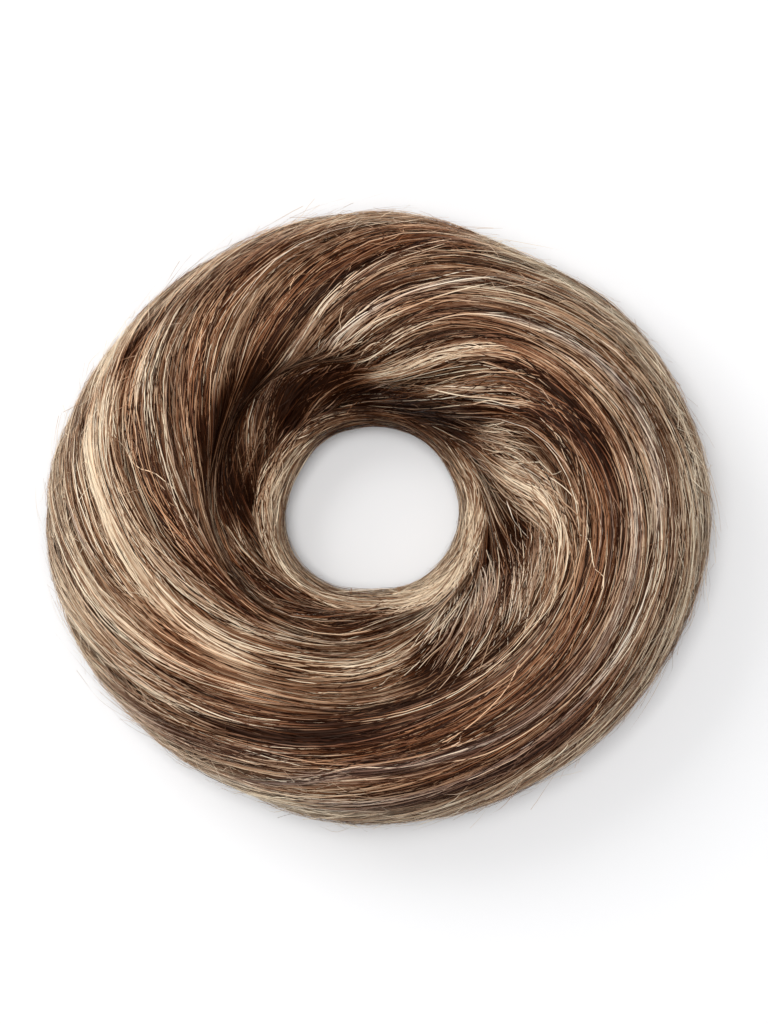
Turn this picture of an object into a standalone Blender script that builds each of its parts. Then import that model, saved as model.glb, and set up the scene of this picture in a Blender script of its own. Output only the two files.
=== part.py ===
# Top knot hairpiece: a ring of false hair on an elastic band, wound into a bun.
# Metres, +Z up. The piece lies on its flat underside, and the hole's axis is vertical.
#
# Places on the ring are given by two angles in degrees.
# turn runs anticlockwise round the hole, seen from above, and is 0 at +X.
# swing runs round the hair roll's own section: 180 faces the hole, 90 is the top,
# 0 is the outer side and -90 is the underside.
# The outer locks start beside the hole, rise over the top and sweep clockwise outwards.

import bisect
import math
from collections import namedtuple

import bmesh
import bpy
from mathutils import Matrix, Vector

# Overall sizes
outer_reach = 0.0765  # from the hole's centre to the farthest point of the outline
hole_reach = 0.0219  # from the hole's centre to the farthest point of its rim
ring_height = 0.041

# The hair roll's section
belly_height = 0.0185  # height of the roll's widest level above the underside
section_power = 2.25  # 2 is an ellipse, and more is squarer
sole_drop = 0.0045  # how far the roll would sag below the underside, which flattens it

# The outer locks
lock_thickness = 0.0070
lock_end_thickness = 0.0016
lock_relief = 0.0021  # depth of the furrow between two locks
lock_gap = 0.0003
seat_gap = 0.0019  # between a lock and the roll under it
seat_dent_share = 0.4  # how much deeper the roll's hollows are than the locks' over them
roll_end_slope = 12.0  # degrees of swing in which the roll comes out to the hair's surface

# The inner wrap and the elastic band in it
wrap_width = 0.0060
wrap_clearance = 0.0004
wrap_top_swing = 178  # swing at which the wrap's upper edge meets the roll
wrap_lowest_swing = 270  # straight down under the roll
wrap_seat_halvings = 24  # steps in which the wrap's lower end is found
wrap_outer_points = 5
wrap_edge_share = 0.56  # of wrap_width, how far from the hole the wrap's top edge lies
wrap_edge_rise = 0.0002  # how far that edge stands above the wrap's outer side
band_thickness = 0.0042
band_lift = 0.0003
band_inset = 0.0014  # how far the band stands back from the hole's rim
band_clearance = 0.0003

# How finely round pieces are divided
lock_steps = 28
roll_turns, roll_swings = 66, 22
wrap_turns = 56
band_turns, band_sides = 48, 8

Section = namedtuple("Section", "turn reach height hole wrap")
# Shares of outer_reach, ring_height, hole_reach and wrap_width round the ring.
sections = [
    Section(0, 1.000, 0.98, 0.945, 1.00),
    Section(30, 0.957, 1.00, 0.930, 0.75),
    Section(60, 0.878, 0.99, 0.940, 0.50),
    Section(90, 0.881, 0.96, 0.930, 0.50),
    Section(120, 0.883, 0.94, 0.940, 0.70),
    Section(150, 0.917, 0.95, 0.925, 1.00),
    Section(180, 0.971, 0.98, 0.968, 1.00),
    Section(210, 0.958, 1.00, 0.998, 0.85),
    Section(240, 0.925, 0.98, 0.955, 0.75),
    Section(270, 0.933, 0.96, 0.888, 0.90),
    Section(300, 0.938, 0.96, 0.920, 1.00),
    Section(330, 0.976, 0.97, 0.935, 1.05),
]

Dent = namedtuple("Dent", "turn swing turn_spread swing_spread depth")
# Hollows in the roll; depth is a share of ring_height.
dents = [
    Dent(122, 143, 24, 20, 0.24),
    Dent(172, 146, 34, 15, 0.11),
    Dent(228, 150, 34, 13, 0.07),
    Dent(328, 137, 22, 17, 0.09),
    Dent(38, 152, 16, 15, 0.07),
]

WrapPoint = namedtuple("WrapPoint", "rise out")
# The wrap's side to the hole, from its seat up, as shares of its height and of wrap_width.
wrap_hole_side = [
    WrapPoint(0.00, 0.30),
    WrapPoint(0.16, 0.08),
    WrapPoint(0.38, 0.00),
    WrapPoint(0.62, 0.05),
    WrapPoint(0.84, 0.24),
]

LockEdge = namedtuple("LockEdge", "foot shoulder rise crown fall brow rim tuck")
edge_swings = LockEdge(196, 150, 120, 90, 60, 30, 0, -58)
# The turn at which the furrow between two locks crosses each of those swings.
lock_edges = [
    LockEdge(59, -3, -18, -110, -147, -173, -184, -206),
    LockEdge(101, 43, 23, -82, -128, -153, -166, -190),
    LockEdge(137, 87, 65, 44, -82, -126, -144, -170),
    LockEdge(160, 108, 84, 65, -14, -92, -118, -148),
    LockEdge(188, 132, 97, 78, 38, -50, -88, -122),
    LockEdge(210, 150, 112, 93, 64, 8, -48, -90),
    LockEdge(238, 172, 131, 110, 89, 60, 12, -42),
    LockEdge(272, 206, 153, 133, 114, 89, 58, 12),
    LockEdge(306, 244, 180, 157, 139, 114, 90, 50),
    LockEdge(334, 272, 209, 181, 161, 139, 118, 82),
    LockEdge(362, 296, 252, 205, 180, 160, 142, 110),
    LockEdge(388, 322, 294, 230, 197, 174, 160, 134),
]
full_turn = 360

hair_colours = {
    "dark": (0.115, 0.062, 0.038, 1),
    "brown": (0.190, 0.115, 0.074, 1),
    "taupe": (0.285, 0.196, 0.132, 1),
    "blond": (0.520, 0.380, 0.250, 1),
}
lock_shades = [
    "blond", "taupe", "brown", "taupe", "brown", "taupe",
    "dark", "brown", "blond", "taupe", "brown", "taupe",
]


def clear_scene():
    for old in list(bpy.data.objects):
        bpy.data.objects.remove(old)


def ring_value(turn, column):
    """A section column at any turn, on a smooth closed curve through its rows."""
    count = len(sections)
    spacing = full_turn / count
    place = (turn % full_turn) / spacing
    first = int(place)
    part = place - first
    before, start, end, after = (
        getattr(sections[(first + step) % count], column) for step in (-1, 0, 1, 2)
    )
    cubic = -before + 3 * start - 3 * end + after
    square = 2 * before - 5 * start + 4 * end - after
    slope = end - before
    return start + 0.5 * part * (slope + part * (square + part * cubic))


def hole_radius(turn):
    return hole_reach * ring_value(turn, "hole")


def wrap_span(turn):
    return wrap_width * ring_value(turn, "wrap")


def roll_centre(turn):
    """Radius of the middle of the roll's section, and half of its width."""
    inner = hole_radius(turn) + wrap_span(turn)
    outer = outer_reach * ring_value(turn, "reach")
    return (inner + outer) / 2, (outer - inner) / 2


def angle_between(a, b):
    return (a - b + full_turn / 2) % full_turn - full_turn / 2


def dent_depth(turn, swing):
    depth = 0
    for dent in dents:
        along = angle_between(turn, dent.turn) / dent.turn_spread
        across = angle_between(swing, dent.swing) / dent.swing_spread
        depth += dent.depth * math.exp(-0.5 * (along * along + across * across))
    return depth * ring_height


def skin_radius(turn, swing, dented=True):
    """How far the hair's surface is from the middle of the section."""
    half_width = roll_centre(turn)[1]
    out, up = math.cos(math.radians(swing)), math.sin(math.radians(swing))
    if up >= 0:
        half_height = ring_height * ring_value(turn, "height") - belly_height
    else:
        half_height = belly_height + sole_drop
    total = (
        abs(out / half_width) ** section_power + abs(up / half_height) ** section_power
    )
    radius = total ** (-1 / section_power)
    if dented:
        radius -= dent_depth(turn, swing)
    if up < 0:
        radius = min(radius, -belly_height / up)
    return radius


def ring_point(turn, radius, height):
    around = math.radians(turn)
    return Vector((radius * math.cos(around), radius * math.sin(around), height))


def roll_point(turn, swing, depth, dented=True):
    """A point at that depth under the hair's surface, and never below the underside."""
    radius = skin_radius(turn, swing, dented) - depth
    out, up = math.cos(math.radians(swing)), math.sin(math.radians(swing))
    height = max(0.0, belly_height + radius * up)
    return ring_point(turn, roll_centre(turn)[0] + radius * out, height)


def lock_depth(swing):
    """Thickness of the layer of locks, which is thin at the foot and the tuck."""
    whole = edge_swings.foot - edge_swings.tuck
    share = (edge_swings.foot - swing) / whole
    if share <= 0 or share >= 1:
        return None
    swell = min(1.0, 4.2 * share, 4.2 * (1 - share))
    swell = swell * swell * (3 - 2 * swell)
    return lock_end_thickness + (lock_thickness - lock_end_thickness) * swell


def edge_turn(edge, swing):
    """The turn of a furrow at any swing, on a smooth curve that never turns back."""
    swings = [-s for s in edge_swings]
    gaps = [b - a for a, b in zip(swings, swings[1:])]
    rates = [(b - a) / gap for a, b, gap in zip(edge, edge[1:], gaps)]
    slopes = [rates[0]]
    for before, after in zip(rates, rates[1:]):
        level = before * after <= 0
        slopes.append(0 if level else 2 * before * after / (before + after))
    slopes.append(rates[-1])
    i = min(max(bisect.bisect_right(swings, -swing) - 1, 0), len(gaps) - 1)
    part = (-swing - swings[i]) / gaps[i]
    rest = 1 - part
    return (
        edge[i] * (1 + 2 * part) * rest * rest
        + edge[i + 1] * (3 - 2 * part) * part * part
        + gaps[i] * slopes[i] * part * rest * rest
        - gaps[i] * slopes[i + 1] * part * part * rest
    )


def edge_point(edge, swing, depth, inset):
    """A point on a furrow, moved inset sideways along the surface, clockwise if positive."""
    turn = edge_turn(edge, swing)
    here = roll_point(turn, swing, depth)
    small = 0.5
    along = roll_point(edge_turn(edge, swing - small), swing - small, depth) - here
    around = roll_point(turn + small, swing, depth) - here
    over = roll_point(turn, swing - small, depth) - here
    outward = around.cross(over).normalized()
    sideways = outward.cross(along).normalized()
    if sideways.dot(around) > 0:
        sideways.negate()
    return here + sideways * inset


def even_swings(edge):
    """Swings from foot to tuck at even steps along a furrow."""
    fine = 400
    end_margin = 0.5
    span = edge_swings.foot - edge_swings.tuck - 2 * end_margin
    swings = [edge_swings.foot - end_margin - span * i / fine for i in range(fine + 1)]
    track = [roll_point(edge_turn(edge, swing), swing, 0) for swing in swings]
    lengths = [0.0]
    for a, b in zip(track, track[1:]):
        lengths.append(lengths[-1] + (b - a).length)
    return [
        swings[min(bisect.bisect_left(lengths, lengths[-1] * i / lock_steps), fine)]
        for i in range(lock_steps + 1)
    ]


def make_material(name, colour, roughness=0.55, metallic=0.0):
    material = bpy.data.materials.new(name)
    material.use_nodes = True
    shader = material.node_tree.nodes["Principled BSDF"]
    shader.inputs["Base Color"].default_value = colour
    shader.inputs["Roughness"].default_value = roughness
    shader.inputs["Metallic"].default_value = metallic
    return material


def make_object(name, points, faces, material):
    mesh = bpy.data.meshes.new(name)
    mesh.from_pydata(points, [], faces)
    solid = bmesh.new()
    solid.from_mesh(mesh)
    bmesh.ops.recalc_face_normals(solid, faces=solid.faces)
    bmesh.ops.triangulate(solid, faces=[f for f in solid.faces if len(f.verts) > 4])
    solid.to_mesh(mesh)
    solid.free()
    mesh.shade_smooth()
    mesh.set_sharp_from_angle(angle=math.radians(50))
    mesh.materials.append(material)
    made = bpy.data.objects.new(name, mesh)
    bpy.context.scene.collection.objects.link(made)
    return made


def loop_faces(rings, around, closed_rings):
    """Quads between rings of the same number of points, each ring a closed loop."""
    faces = []
    for ring in range(rings if closed_rings else rings - 1):
        next_ring = (ring + 1) % rings
        for i in range(around):
            j = (i + 1) % around
            faces.append(
                (ring * around + i, ring * around + j, next_ring * around + j, next_ring * around + i)
            )
    return faces


def make_ring(name, turns, outline_at, material):
    """A closed ring from the section outline that outline_at gives at each turn."""
    points = []
    around = 0
    for i in range(turns):
        turn = full_turn * i / turns
        outline = outline_at(turn)
        around = len(outline)
        points += outline
    return make_object(name, points, loop_faces(turns, around, True), material)


def make_lock(name, edge, next_edge, material):
    """One lock between two furrows: a crowned outer side, two flanks and an inner side."""
    across = (0.2, 0.5, 0.8)
    points = []
    for swing, next_swing in zip(even_swings(edge), even_swings(next_edge)):
        turn, next_turn = edge_turn(edge, swing), edge_turn(next_edge, next_swing)
        inner_side = []
        for i, share in enumerate((0, *across, 1)):
            mid_swing = swing + (next_swing - swing) * share
            thickness = lock_depth(mid_swing)
            furrow = lock_relief * thickness / lock_thickness * abs(2 * share - 1) ** 3
            if share == 0:
                points.append(edge_point(edge, swing, furrow, -lock_gap / 2))
                inner_side.append(edge_point(edge, swing, thickness, -lock_gap / 2))
            elif share == 1:
                points.append(edge_point(next_edge, next_swing, furrow, lock_gap / 2))
                inner_side.append(edge_point(next_edge, next_swing, thickness, lock_gap / 2))
            else:
                mid_turn = turn + (next_turn - turn) * share
                points.append(roll_point(mid_turn, mid_swing, furrow))
                inner_side.append(roll_point(mid_turn, mid_swing, thickness))
        points += reversed(inner_side)
    around = 2 * (len(across) + 2)
    faces = loop_faces(lock_steps + 1, around, False)
    faces.append(tuple(range(around)))
    faces.append(tuple(range(len(points) - around, len(points))))
    return make_object(name, points, faces, material)


def roll_outline(turn):
    """The roll's section: the hair's surface, less the locks where they cover it."""
    bare_span = full_turn - (edge_swings.foot - edge_swings.tuck)
    outline = []
    for i in range(roll_swings):
        swing = edge_swings.foot - full_turn * i / roll_swings
        depth = lock_depth(swing)
        if depth is None:
            past_tuck = edge_swings.tuck - swing
            nearest = min(past_tuck, bare_span - past_tuck) if past_tuck > 0 else 0
            covered = max(0.0, 1 - nearest / roll_end_slope)
            depth = (lock_end_thickness + seat_gap) * covered
        else:
            depth += seat_gap + seat_dent_share * dent_depth(turn, swing)
        outline.append(roll_point(turn, swing, depth))
    return outline


def wrap_seat_swing(turn, seat):
    """The swing at which the wrap's outer side comes down to the height of its seat."""
    above, below = wrap_top_swing, wrap_lowest_swing
    for _ in range(wrap_seat_halvings):
        middle = (above + below) / 2
        if roll_point(turn, middle, -wrap_clearance, dented=False).z > seat:
            above = middle
        else:
            below = middle
    return above


def wrap_outline(turn):
    """The inner wrap's section, from its top down the roll's side and up the hole's wall."""
    rim = hole_radius(turn)
    span = wrap_span(turn)
    seat = band_lift + band_thickness + band_clearance
    drop = wrap_seat_swing(turn, seat) - wrap_top_swing
    outer_side = []
    for i in range(wrap_outer_points):
        swing = wrap_top_swing + drop * i / (wrap_outer_points - 1)
        outer_side.append(roll_point(turn, swing, -wrap_clearance, dented=False))
    top = outer_side[0].z
    hole_side = [
        ring_point(turn, rim + point.out * span, seat + point.rise * (top - seat))
        for point in wrap_hole_side
    ]
    edge = ring_point(turn, rim + wrap_edge_share * span, top + wrap_edge_rise)
    return outer_side + hole_side + [edge]


def band_outline(turn):
    middle = hole_radius(turn) + band_inset + band_thickness / 2
    half = band_thickness / 2
    outline = []
    for i in range(band_sides):
        side = math.radians(full_turn * i / band_sides)
        outline.append(
            ring_point(
                turn,
                middle + half * math.cos(side),
                band_lift + half + half * math.sin(side),
            )
        )
    return outline


def stand_on_origin(pieces):
    """Moves the meshes so that the middle of the whole piece's underside is the origin."""
    corners = [v.co for piece in pieces for v in piece.data.vertices]
    low = Vector([min(c[k] for c in corners) for k in range(3)])
    high = Vector([max(c[k] for c in corners) for k in range(3)])
    shift = Vector((-(low.x + high.x) / 2, -(low.y + high.y) / 2, -low.z))
    for piece in pieces:
        piece.data.transform(Matrix.Translation(shift))
    print("hole centre at", shift, "size", high - low)


def main():
    clear_scene()
    elastic = make_material("elastic", (0.035, 0.022, 0.016, 1), roughness=0.85)
    hair = {
        shade: make_material("hair_" + shade, colour)
        for shade, colour in hair_colours.items()
    }
    pieces = [
        make_ring("elastic_band", band_turns, band_outline, elastic),
        make_ring("inner_wrap", wrap_turns, wrap_outline, hair["blond"]),
        make_ring("hair_roll", roll_turns, roll_outline, hair["dark"]),
    ]
    for i, edge in enumerate(lock_edges):
        if i + 1 < len(lock_edges):
            next_edge = lock_edges[i + 1]
        else:
            next_edge = LockEdge(*(turn + full_turn for turn in lock_edges[0]))
        pieces.append(make_lock(f"lock_{i + 1:02d}", edge, next_edge, hair[lock_shades[i]]))
    stand_on_origin(pieces)


main()
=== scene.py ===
# Top knot hairpiece: its hair, elastic band and studio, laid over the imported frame.
# Metres, +Z up. A place on the hair is given by two angles in degrees, seen from the hole:
# turn goes anticlockwise round the hole, and swing goes round the hair roll's own section,
# 180 on the hole's side, 90 on top, 0 on the outer side and -90 underneath.
# The names runMm, mmPerTurn and mmPerSwing and all that begin with lie are about the millimetres
# in which the hair's finish is drawn. What is called a share, a spread or a wander has its unit
# from the line that uses it.

import math

import bpy
import numpy as np
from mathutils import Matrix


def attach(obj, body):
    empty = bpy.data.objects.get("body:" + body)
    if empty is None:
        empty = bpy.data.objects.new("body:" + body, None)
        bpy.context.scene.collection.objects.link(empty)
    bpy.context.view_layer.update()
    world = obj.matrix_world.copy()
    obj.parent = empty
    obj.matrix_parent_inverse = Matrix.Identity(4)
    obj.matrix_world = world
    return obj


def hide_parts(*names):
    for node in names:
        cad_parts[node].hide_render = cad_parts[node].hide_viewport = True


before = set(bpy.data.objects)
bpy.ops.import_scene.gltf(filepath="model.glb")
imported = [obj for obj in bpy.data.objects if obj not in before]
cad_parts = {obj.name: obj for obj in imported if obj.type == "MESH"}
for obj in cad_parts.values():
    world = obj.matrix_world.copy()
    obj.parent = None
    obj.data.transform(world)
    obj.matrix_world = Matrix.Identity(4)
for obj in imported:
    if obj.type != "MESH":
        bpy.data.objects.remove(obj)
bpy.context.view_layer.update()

ringShape = {
    "outerReach": 0.0765,
    "holeReach": 0.0219,
    "ringHeight": 0.041,
    "bellyHeight": 0.0185,
    "sectionPower": 2.25,
    "soleDrop": 0.0045,
    "wrapWidth": 0.0060,
    "wrapSeat": 0.0048,
    "holeX": -0.0010,
    "holeY": 0.0019,
    "floorGap": 0.0002,
}

# turn, then shares of outerReach, ringHeight, holeReach and wrapWidth
sectionRows = np.array([
    (0, 1.000, 0.98, 0.945, 1.00),
    (30, 0.957, 1.00, 0.930, 0.75),
    (60, 0.878, 0.99, 0.940, 0.50),
    (90, 0.881, 0.96, 0.930, 0.50),
    (120, 0.883, 0.94, 0.940, 0.70),
    (150, 0.917, 0.95, 0.925, 1.00),
    (180, 0.971, 0.98, 0.968, 1.00),
    (210, 0.958, 1.00, 0.998, 0.85),
    (240, 0.925, 0.98, 0.955, 0.75),
    (270, 0.933, 0.96, 0.888, 0.90),
    (300, 0.938, 0.96, 0.920, 1.00),
    (330, 0.976, 0.97, 0.935, 1.05),
])

# turn, swing, spread in turn, spread in swing, depth as a share of ringHeight
dentRows = (
    (122, 143, 24, 20, 0.24),
    (172, 146, 34, 15, 0.11),
    (228, 150, 34, 13, 0.07),
    (328, 137, 22, 17, 0.09),
    (38, 152, 16, 15, 0.07),
)

# The furrow between two locks crosses each of these swings at the turns below.
furrowSwings = (196, 150, 120, 90, 60, 30, 0, -58)
furrowRows = (
    (59, -3, -18, -110, -147, -173, -184, -206),
    (101, 43, 23, -82, -128, -153, -166, -190),
    (137, 87, 65, 44, -82, -126, -144, -170),
    (160, 108, 84, 65, -14, -92, -118, -148),
    (188, 132, 97, 78, 38, -50, -88, -122),
    (210, 150, 112, 93, 64, 8, -48, -90),
    (238, 172, 131, 110, 89, 60, 12, -42),
    (272, 206, 153, 133, 114, 89, 58, 12),
    (306, 244, 180, 157, 139, 114, 90, 50),
    (334, 272, 209, 181, 161, 139, 118, 82),
    (362, 296, 252, 205, 180, 160, 142, 110),
    (388, 322, 294, 230, 197, 174, 160, 134),
)
lockCount = len(furrowRows)


# A smooth curve through even values, part of the way from start to end
def curveValue(before, start, end, after, part):
    cubic = -before + 3 * start - 3 * end + after
    square = 2 * before - 5 * start + 4 * end - after
    return start + 0.5 * part * (end - before + part * (square + part * cubic))


def ringValue(turn, column):
    rows = sectionRows[:, column]
    count = len(rows)
    place = np.mod(turn, 360) * count / 360
    first = np.floor(place).astype(int)
    near = [rows[(first + step) % count] for step in (-1, 0, 1, 2)]
    return curveValue(*near, place - first)


def angleBetween(a, b):
    return np.mod(a - b + 180, 360) - 180


def holeRadius(turn):
    return ringShape["holeReach"] * ringValue(turn, 3)


def edgeRadius(turn):
    return ringShape["outerReach"] * ringValue(turn, 1)


def wrapSpan(turn):
    return ringShape["wrapWidth"] * ringValue(turn, 4)


def rollMiddle(turn):
    inner = holeRadius(turn) + wrapSpan(turn)
    outer = edgeRadius(turn)
    return (inner + outer) / 2, (outer - inner) / 2


def skinRadius(turn, swing):
    halfWidth = rollMiddle(turn)[1]
    out = np.cos(np.radians(swing))
    up = np.sin(np.radians(swing))
    upper = ringShape["ringHeight"] * ringValue(turn, 2) - ringShape["bellyHeight"]
    halfHeight = np.where(up >= 0, upper, ringShape["bellyHeight"] + ringShape["soleDrop"])
    power = ringShape["sectionPower"]
    radius = (np.abs(out / halfWidth) ** power + np.abs(up / halfHeight) ** power) ** (-1 / power)
    for dentTurn, dentSwing, turnSpread, swingSpread, depth in dentRows:
        along = angleBetween(turn, dentTurn) / turnSpread
        across = angleBetween(swing, dentSwing) / swingSpread
        radius = radius - depth * ringShape["ringHeight"] * np.exp(-0.5 * (along**2 + across**2))
    floorRadius = ringShape["bellyHeight"] / np.maximum(-up, 1e-6)
    return np.where(up < 0, np.minimum(radius, floorRadius), radius)


def ringPoint(turn, radius, height):
    around = np.radians(turn)
    x = ringShape["holeX"] + radius * np.cos(around)
    y = ringShape["holeY"] + radius * np.sin(around)
    return np.stack([x, y, height + 0 * x], axis=-1)


# lift is the height above the hair's surface, and nothing goes below the floor
def hairPoint(turn, swing, lift):
    radius = skinRadius(turn, swing) + lift
    out = np.cos(np.radians(swing))
    up = np.sin(np.radians(swing))
    height = np.maximum(ringShape["bellyHeight"] + radius * up, ringShape["floorGap"])
    return ringPoint(turn, rollMiddle(turn)[0] + radius * out, height)


def unit(vectors):
    return vectors / np.maximum(np.linalg.norm(vectors, axis=-1, keepdims=True), 1e-12)


# Steps between the two places that a normal is worked out from, in degrees and as a share
normalStep = 0.6
topStep = 1.5
shareStep = 0.02


def hairNormal(turn, swing):
    around = hairPoint(turn + normalStep, swing, 0) - hairPoint(turn - normalStep, swing, 0)
    over = hairPoint(turn, swing + normalStep, 0) - hairPoint(turn, swing - normalStep, 0)
    return unit(np.cross(over, around) * -1)


# Tables of turn and swing at even steps along each furrow
def furrowTables(steps=200, fine=500):
    swings = np.linspace(furrowSwings[0] - 0.5, furrowSwings[-1] + 0.5, fine)
    knots = -np.array(furrowSwings, float)
    gaps = np.diff(knots)
    evenTurns, evenSwings = [], []
    for row in (*furrowRows, tuple(turn + 360 for turn in furrowRows[0])):
        row = np.array(row, float)
        rates = np.diff(row) / gaps
        slopes = np.concatenate([
            rates[:1],
            2 * rates[:-1] * rates[1:] / (rates[:-1] + rates[1:]),
            rates[-1:],
        ])
        i = np.clip(np.searchsorted(knots, -swings) - 1, 0, len(gaps) - 1)
        part = (-swings - knots[i]) / gaps[i]
        rest = 1 - part
        turns = (
            row[i] * (1 + 2 * part) * rest**2
            + row[i + 1] * (3 - 2 * part) * part**2
            + gaps[i] * slopes[i] * part * rest**2
            - gaps[i] * slopes[i + 1] * part**2 * rest
        )
        track = hairPoint(turns, swings, 0)
        lengths = np.concatenate([[0], np.cumsum(np.linalg.norm(np.diff(track, axis=0), axis=1))])
        even = np.linspace(0, lengths[-1], steps + 1)
        evenTurns.append(np.interp(even, lengths, turns))
        evenSwings.append(np.interp(even, lengths, swings))
    return np.array(evenTurns), np.array(evenSwings)


furrowTurns, furrowEvenSwings = furrowTables()


# across counts locks round the ring, and along runs from 0 at the foot to 1 at the tuck
def flowPlace(across, along):
    lap = np.floor(across / lockCount)
    inLap = across - lap * lockCount
    k = np.minimum(inLap.astype(int), lockCount - 1)
    side = inLap - k
    steps = furrowTurns.shape[1] - 1
    place = np.clip(along, 0, 1) * steps
    i = np.minimum(place.astype(int), steps - 1)
    part = place - i

    def read(table):
        near = table[k, i] * (1 - part) + table[k, i + 1] * part
        far = table[k + 1, i] * (1 - part) + table[k + 1, i + 1] * part
        return near * (1 - side) + far * side

    return read(furrowTurns) + 360 * lap, read(furrowEvenSwings)


# The wrap's section: shares of its height and of its span, up the hole's wall and over the top.
# Its top lies wrapTopRise above the widest level.
wrapTopRise = 0.0010
wrapRises = (0.0, 0.16, 0.38, 0.62, 0.84, 1.0, 1.0)
wrapOuts = (0.30, 0.08, 0.0, 0.05, 0.24, 0.56, 1.10)


# around runs from 0 at the wrap's foot in the hole to 1 where it meets the roll
def wrapPoint(turn, around, lift):
    place = np.clip(around, 0, 1)
    knots = np.linspace(0, 1, len(wrapRises))
    rise = np.interp(place, knots, wrapRises)
    out = np.interp(place, knots, wrapOuts)
    top = ringShape["bellyHeight"] + wrapTopRise
    radius = holeRadius(turn) + out * wrapSpan(turn)
    height = ringShape["wrapSeat"] + rise * (top - ringShape["wrapSeat"])
    upward = np.clip(3 * place - 1.6, 0, 1)
    return ringPoint(turn, radius - lift * (1 - upward), height + lift * upward)


def wrapNormal(turn, around):
    middle = np.clip(around, shareStep, 1 - shareStep)
    along = wrapPoint(turn + normalStep, middle, 0) - wrapPoint(turn - normalStep, middle, 0)
    over = wrapPoint(turn, middle + shareStep, 0) - wrapPoint(turn, middle - shareStep, 0)
    return unit(np.cross(along, over) * -1)


# Heights of the hair seen from above, by turn and by share of the way from rim to outline
def topHeights(shares=121):
    turn = np.arange(360.0)[:, None]
    share = np.linspace(0, 1, shares)[None, :]
    rim = holeRadius(turn)
    edge = edgeRadius(turn)
    radius = rim + share * (edge - rim)
    swing = np.linspace(180, 0, 181)[None, :]
    reach = rollMiddle(turn)[0] + skinRadius(turn, swing) * np.cos(np.radians(swing))
    level = ringShape["bellyHeight"] + skinRadius(turn, swing) * np.sin(np.radians(swing))
    around = np.linspace(0.34, 1, 60)[None, :]
    wrap = wrapPoint(turn, around, 0)
    wrapReach = np.hypot(wrap[..., 0] - ringShape["holeX"], wrap[..., 1] - ringShape["holeY"])
    heights = np.zeros(radius.shape)
    for i in range(360):
        order = np.argsort(reach[i])
        low = np.interp(radius[i], wrapReach[i], wrap[i, :, 2])
        high = np.interp(radius[i], reach[i][order], level[i][order])
        heights[i] = np.where(radius[i] < reach[i].min(), low, np.maximum(low * 0.98, high))
    return heights


topMap = topHeights()


def topPoint(turn, share, lift):
    rim = holeRadius(turn)
    edge = edgeRadius(turn)
    i = np.mod(np.floor(turn).astype(int), 360)
    j = np.clip(share, 0, 0.9999) * (topMap.shape[1] - 1)
    k = j.astype(int)
    u = turn - np.floor(turn)
    v = j - k
    near = topMap[i, k] * (1 - v) + topMap[i, k + 1] * v
    far = topMap[(i + 1) % 360, k] * (1 - v) + topMap[(i + 1) % 360, k + 1] * v
    return ringPoint(turn, rim + share * (edge - rim), near * (1 - u) + far * u + lift)


def topNormal(turn, share):
    middle = np.clip(share, shareStep, 0.97)
    along = topPoint(turn + topStep, middle, 0) - topPoint(turn - topStep, middle, 0)
    over = topPoint(turn, middle + shareStep, 0) - topPoint(turn, middle - shareStep, 0)
    return unit(np.cross(over, along))


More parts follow.
